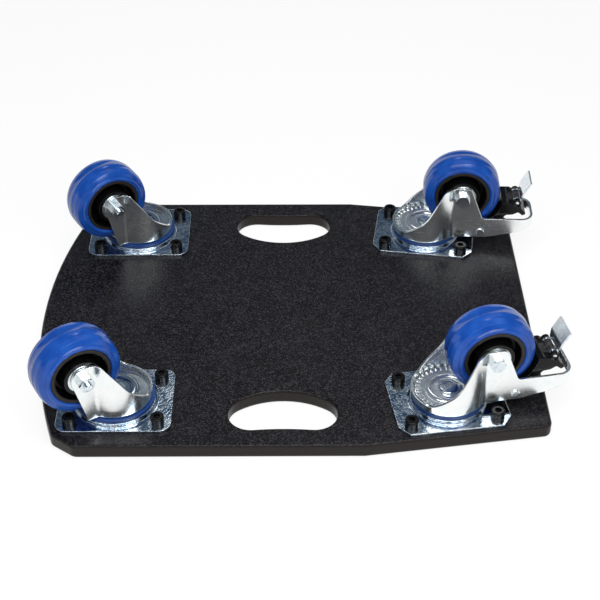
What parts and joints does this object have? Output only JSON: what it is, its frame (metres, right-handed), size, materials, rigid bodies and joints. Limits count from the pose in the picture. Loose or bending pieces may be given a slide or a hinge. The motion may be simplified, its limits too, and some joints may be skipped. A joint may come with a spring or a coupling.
{
  "type": "caster board",
  "caption": "Flat plywood carrying board with a bowed end, a tapered end, hand holes and swivel casters with elastic tyres; the casters at the tapered end have foot brakes.",
  "frame": {"origin": "middle of the board's load face, which is the face it lies on with the wheels up", "axes": "+X from the bowed end to the tapered braked end, +Y to the left, +Z out of the face with the casters"},
  "size_m": [0.5042, 0.387, 0.114],
  "materials": {
    "board_paint": "fine textured black paint on plywood",
    "zinc_steel": "bright zinc plating",
    "ball_steel": "polished bearing steel",
    "black_steel": "black oxide",
    "blue_tyre": "satin elastic rubber",
    "rim_plastic": "moulded black polyamide",
    "blue_plastic": "moulded blue seal",
    "black_plastic": "moulded black plastic"
  },
  "bodies": {
    "board": {"board": "board_paint", "plate_screws": "black_steel", "insert_nuts": "zinc_steel", "kingpins": "zinc_steel", "mount_plate_free_left": "zinc_steel", "dust_seal_free_left": "blue_plastic", "swivel_balls_free_left": "ball_steel", "swivel_cap_free_left": "zinc_steel", "mount_plate_free_right": "zinc_steel", "dust_seal_free_right": "blue_plastic", "swivel_balls_free_right": "ball_steel", "swivel_cap_free_right": "zinc_steel", "mount_plate_brake_left": "zinc_steel", "dust_seal_brake_left": "blue_plastic", "swivel_balls_brake_left": "ball_steel", "tooth_ring_brake_left": "zinc_steel", "mount_plate_brake_right": "zinc_steel", "dust_seal_brake_right": "blue_plastic", "swivel_balls_brake_right": "ball_steel", "tooth_ring_brake_right": "zinc_steel"},
    "swivel_free_left": {"fork_free_left": "zinc_steel", "axle_sleeve_free_left": "zinc_steel", "axle_bolt_free_left": "zinc_steel", "axle_nut_free_left": "zinc_steel"},
    "wheel_free_left": {"tyre_free_left": "blue_tyre", "wheel_rim_free_left": "rim_plastic", "wheel_bearings_free_left": "ball_steel"},
    "swivel_free_right": {"fork_free_right": "zinc_steel", "axle_sleeve_free_right": "zinc_steel", "axle_bolt_free_right": "zinc_steel", "axle_nut_free_right": "zinc_steel"},
    "wheel_free_right": {"tyre_free_right": "blue_tyre", "wheel_rim_free_right": "rim_plastic", "wheel_bearings_free_right": "ball_steel"},
    "swivel_brake_left": {"fork_brake_left": "zinc_steel", "axle_sleeve_brake_left": "zinc_steel", "axle_bolt_brake_left": "zinc_steel", "axle_nut_brake_left": "zinc_steel", "pivot_pin_brake_left": "zinc_steel"},
    "wheel_brake_left": {"tyre_brake_left": "blue_tyre", "wheel_rim_brake_left": "rim_plastic", "wheel_bearings_brake_left": "ball_steel"},
    "lever_brake_left": {"brake_lever_brake_left": "black_plastic", "brake_core_brake_left": "zinc_steel", "pedal_pin_brake_left": "zinc_steel"},
    "pedal_brake_left": {"brake_pedal_brake_left": "zinc_steel"},
    "swivel_brake_right": {"fork_brake_right": "zinc_steel", "axle_sleeve_brake_right": "zinc_steel", "axle_bolt_brake_right": "zinc_steel", "axle_nut_brake_right": "zinc_steel", "pivot_pin_brake_right": "zinc_steel"},
    "wheel_brake_right": {"tyre_brake_right": "blue_tyre", "wheel_rim_brake_right": "rim_plastic", "wheel_bearings_brake_right": "ball_steel"},
    "lever_brake_right": {"brake_lever_brake_right": "black_plastic", "brake_core_brake_right": "zinc_steel", "pedal_pin_brake_right": "zinc_steel"},
    "pedal_brake_right": {"brake_pedal_brake_right": "zinc_steel"}
  },
  "joints": [
    {"name": "swivel_free_left_turn", "type": "hinge", "parent": "board", "child": "swivel_free_left", "pos_m": [-0.157, 0.135, 0.015], "axis": [0, 0, 1], "continuous": true},
    {"name": "wheel_free_left_spin", "type": "hinge", "parent": "swivel_free_left", "child": "wheel_free_left", "pos_m": [-0.18753, 0.11592, 0.074], "axis": [0.5299, -0.848, 0], "continuous": true},
    {"name": "swivel_free_right_turn", "type": "hinge", "parent": "board", "child": "swivel_free_right", "pos_m": [-0.157, -0.135, 0.015], "axis": [0, 0, 1], "continuous": true},
    {"name": "wheel_free_right_spin", "type": "hinge", "parent": "swivel_free_right", "child": "wheel_free_right", "pos_m": [-0.18818, -0.153, 0.074], "axis": [0.5, -0.866, 0], "continuous": true},
    {"name": "swivel_brake_left_turn", "type": "hinge", "parent": "board", "child": "swivel_brake_left", "pos_m": [0.149, 0.135, 0.015], "axis": [0, 0, 1], "continuous": true},
    {"name": "wheel_brake_left_spin", "type": "hinge", "parent": "swivel_brake_left", "child": "wheel_brake_left", "pos_m": [0.18498, 0.13374, 0.074], "axis": [0.0349, 0.9994, 0], "continuous": true},
    {"name": "lever_brake_left_swing", "type": "hinge", "parent": "swivel_brake_left", "child": "lever_brake_left", "pos_m": [0.20598, 0.13301, 0.03398], "axis": [-0.0349, -0.9994, 0], "range_deg": [0, 4.5]},
    {"name": "pedal_brake_left_press", "type": "hinge", "parent": "lever_brake_left", "child": "pedal_brake_left", "pos_m": [0.24322, 0.13171, 0.06477], "axis": [-0.0349, -0.9994, 0], "range_deg": [0, 18]},
    {"name": "swivel_brake_right_turn", "type": "hinge", "parent": "board", "child": "swivel_brake_right", "pos_m": [0.149, -0.135, 0.015], "axis": [0, 0, 1], "continuous": true},
    {"name": "wheel_brake_right_spin", "type": "hinge", "parent": "swivel_brake_right", "child": "wheel_brake_right", "pos_m": [0.18434, -0.12813, 0.074], "axis": [-0.1908, 0.9816, 0], "continuous": true},
    {"name": "lever_brake_right_swing", "type": "hinge", "parent": "swivel_brake_right", "child": "lever_brake_right", "pos_m": [0.20496, -0.12412, 0.03398], "axis": [0.1908, -0.9816, 0], "range_deg": [0, 4.5]},
    {"name": "pedal_brake_right_press", "type": "hinge", "parent": "lever_brake_right", "child": "pedal_brake_right", "pos_m": [0.24154, -0.11701, 0.06477], "axis": [0.1908, -0.9816, 0], "range_deg": [0, 18]}
  ],
  "couplings": [
    {"joint": "pedal_brake_left_press", "follows": "lever_brake_left_swing", "ratio": 4},
    {"joint": "pedal_brake_right_press", "follows": "lever_brake_right_swing", "ratio": 4}
  ]
}
